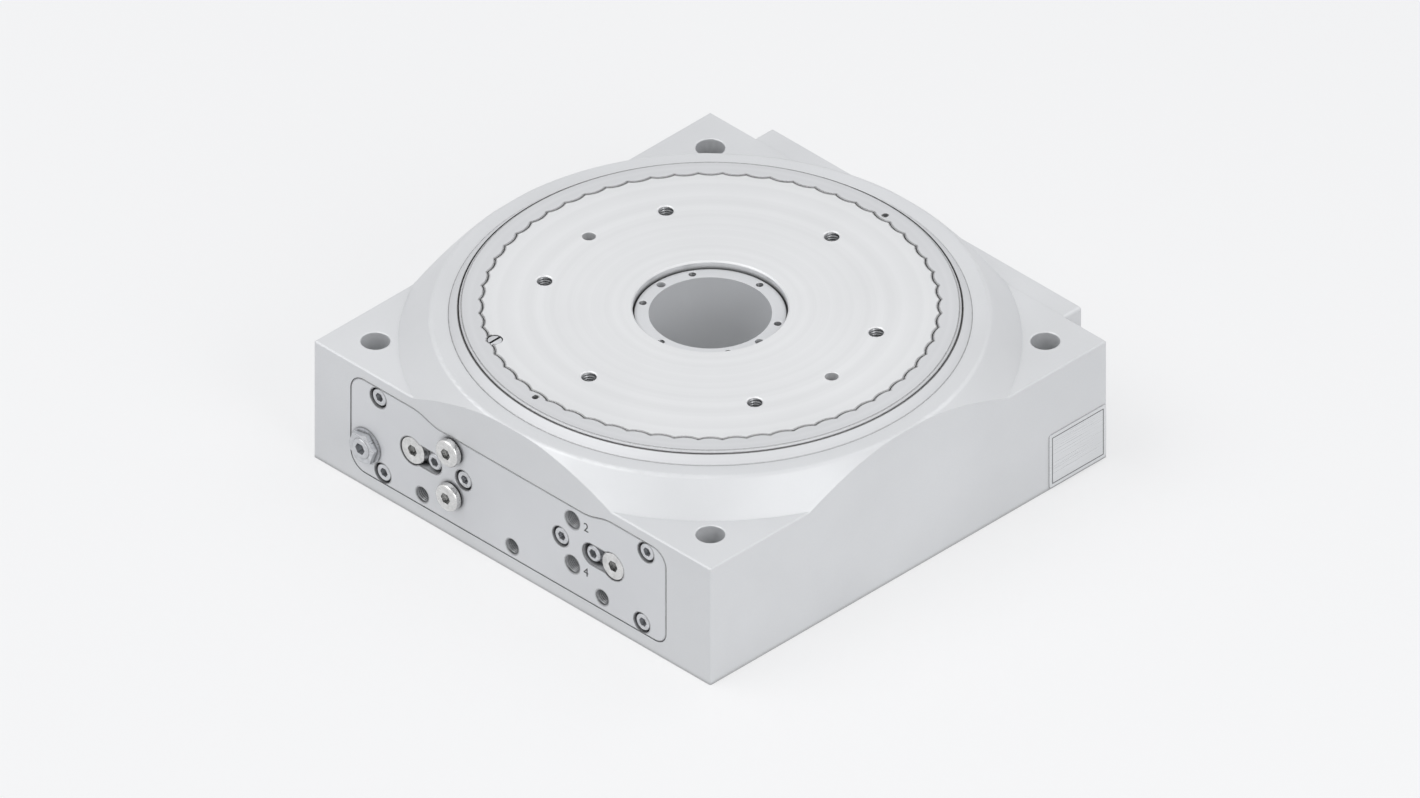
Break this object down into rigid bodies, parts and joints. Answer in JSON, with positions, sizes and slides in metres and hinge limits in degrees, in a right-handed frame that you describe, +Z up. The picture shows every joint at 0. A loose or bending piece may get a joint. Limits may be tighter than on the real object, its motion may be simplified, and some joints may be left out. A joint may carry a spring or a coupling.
{
  "type": "rotary indexing table",
  "caption": "Pneumatic rotary indexing table with a round scalloped top on a square ported housing; rack pistons turn a gear, and crown teeth lock the table or clutch it to the gear.",
  "frame": {"origin": "on the table's axis in the base plane", "axes": "+Z up along the table's axis; -Y towards the control face with ports and throttle screws; +X towards the face with the name plate"},
  "size_m": [0.2455, 0.2604, 0.0805],
  "materials": {
    "anodised_body": "satin anodised",
    "anodised_front": "satin anodised",
    "anodised_core": "turned and anodised",
    "gasket": "matt",
    "seal": "matt",
    "black_steel": "black oxide",
    "bright_steel": "zinc plated",
    "plated_plug": "nickel plated",
    "bronze": "machined",
    "spring_steel": "blued",
    "ground_steel": "ground",
    "table_steel": "fine turned",
    "hardened_steel": "hardened and ground",
    "polished_steel": "polished",
    "guide_plastic": "matt",
    "label_foil": "satin foil"
  },
  "bodies": {
    "base": {"housing": "anodised_body", "front_cover": "anodised_front", "front_gasket": "gasket", "front_cover_screws": "bright_steel", "port_plugs": "plated_plug", "port_plug_seals": "seal", "cylinder_plugs": "plated_plug", "rear_cover": "anodised_body", "rear_gasket": "gasket", "rear_cover_screws": "bright_steel", "cover_o_rings": "seal", "centre_hub": "anodised_core", "hub_screws": "black_steel", "gear_bush": "bronze", "gear_retaining_ring": "spring_steel", "outer_bearing_ring": "ground_steel", "lock_cylinder": "anodised_core", "lock_guide_pins": "bright_steel", "absorber_body": "bright_steel", "absorber_washer": "bright_steel", "absorber_nut": "bright_steel", "pit_plate": "anodised_front", "pit_plate_screws": "bright_steel", "label_plate": "label_foil"},
    "turntable": {"table_plate": "table_steel", "rim_ring": "ground_steel", "rim_ring_screws": "black_steel", "rim_lock_screw": "bright_steel", "table_lock_teeth": "hardened_steel", "table_drive_teeth": "hardened_steel", "tooth_ring_screws": "black_steel"},
    "ball_set": {"ball_cage": "bronze", "bearing_balls": "polished_steel"},
    "drive": {"drive_gear": "hardened_steel"},
    "clutch": {"clutch_ring": "hardened_steel"},
    "lock": {"lock_ring": "hardened_steel", "lock_piston_seals": "seal"},
    "rack_left_set": {"rack_left": "hardened_steel", "piston_seals_left": "seal", "guide_bands_left": "guide_plastic", "striker": "hardened_steel", "striker_screw": "black_steel"},
    "rack_right_set": {"rack_right": "hardened_steel", "piston_seals_right": "seal", "guide_bands_right": "guide_plastic"},
    "absorber": {"absorber_rod": "polished_steel"},
    "throttle_left_set": {"throttle_left": "bright_steel"},
    "throttle_right_set": {"throttle_right": "bright_steel"}
  },
  "joints": [
    {"name": "table_turn", "type": "hinge", "parent": "base", "child": "turntable", "pos_m": [0, 0, 0.07], "axis": [0, 0, 1], "continuous": true},
    {"name": "balls_turn", "type": "hinge", "parent": "base", "child": "ball_set", "pos_m": [0, 0, 0.07], "axis": [0, 0, 1], "continuous": true},
    {"name": "drive_turn", "type": "hinge", "parent": "base", "child": "drive", "pos_m": [0, 0, 0.0335], "axis": [0, 0, 1], "range_deg": [0, 60]},
    {"name": "rack_left_slide", "type": "slide", "parent": "base", "child": "rack_left_set", "axis": [0, 1, 0], "range_m": [-0.0546, 0]},
    {"name": "rack_right_slide", "type": "slide", "parent": "base", "child": "rack_right_set", "axis": [0, 1, 0], "range_m": [0, 0.0546]},
    {"name": "clutch_lift", "type": "slide", "parent": "drive", "child": "clutch", "axis": [0, 0, 1], "range_m": [-0.002, 0.002]},
    {"name": "lock_lift", "type": "slide", "parent": "base", "child": "lock", "axis": [0, 0, 1], "range_m": [-0.002, 0.002]},
    {"name": "absorber_push", "type": "slide", "parent": "base", "child": "absorber", "axis": [0, -1, 0], "range_m": [0, 0.008], "stiffness_N_per_m": 600, "springref_m": -0.004},
    {"name": "throttle_left_turn", "type": "hinge", "parent": "base", "child": "throttle_left_set", "pos_m": [-0.049, -0.1215, 0.0332], "axis": [0, -1, 0], "range_deg": [0, 1080]},
    {"name": "throttle_right_turn", "type": "hinge", "parent": "base", "child": "throttle_right_set", "pos_m": [0.049, -0.1215, 0.0332], "axis": [0, -1, 0], "range_deg": [0, 1080]}
  ],
  "couplings": [
    {"joint": "balls_turn", "follows": "table_turn", "ratio": 0.5},
    {"joint": "rack_left_slide", "follows": "drive_turn", "m_per_rad": -0.052},
    {"joint": "rack_right_slide", "follows": "drive_turn", "m_per_rad": 0.052},
    {"joint": "lock_lift", "follows": "clutch_lift", "ratio": -1}
  ]
}
